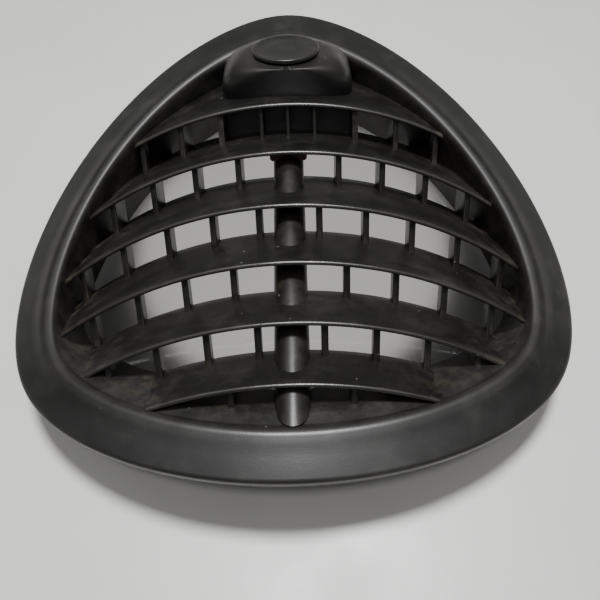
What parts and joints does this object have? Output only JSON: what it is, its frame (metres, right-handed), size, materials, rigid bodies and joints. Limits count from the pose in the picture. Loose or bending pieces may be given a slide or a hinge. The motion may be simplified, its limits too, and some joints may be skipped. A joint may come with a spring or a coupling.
{
  "type": "air outlet diffuser grille",
  "caption": "Rounded-triangle air diffuser grille: bowed louvres braced by staggered webs and a spine, with a raised boss and pull-off cap.",
  "frame": {"origin": "middle of the bezel's outline, at the height of the leg tips", "axes": "+X to the right, +Y up the face toward the boss, +Z out of the face"},
  "size_m": [0.194, 0.208, 0.054],
  "materials": {
    "black_plastic": "fine-grained moulded black plastic, worn slightly shiny on the edges",
    "plain_black_plastic": "smooth satin black plastic on the hidden fixings",
    "red_brown_plastic": "plain red-brown plastic",
    "spring_steel": "bare spring steel strip",
    "foam": "closed-cell foam strip"
  },
  "bodies": {
    "grille": {"bezel": "black_plastic", "louvre_1": "black_plastic", "louvre_2": "black_plastic", "louvre_3": "black_plastic", "louvre_4": "black_plastic", "louvre_5": "black_plastic", "louvre_6": "black_plastic", "webs_row_1": "black_plastic", "webs_row_2": "black_plastic", "webs_row_3": "black_plastic", "webs_row_4": "black_plastic", "webs_row_5": "black_plastic", "webs_row_6": "black_plastic", "spine": "black_plastic", "spine_clip": "red_brown_plastic", "boss": "black_plastic", "boss_box": "plain_black_plastic", "boss_ribs": "plain_black_plastic", "cap_socket": "plain_black_plastic", "mounting_legs": "plain_black_plastic", "spring_clips": "spring_steel", "locating_pins": "plain_black_plastic", "sealing_strip": "foam"},
    "cap": {"cap_disc": "black_plastic", "cap_stem": "black_plastic"}
  },
  "joints": [
    {"name": "cap_pull", "type": "slide", "parent": "grille", "child": "cap", "axis": [0, 0.2924, 0.9563], "range_m": [0, 0.014]}
  ]
}
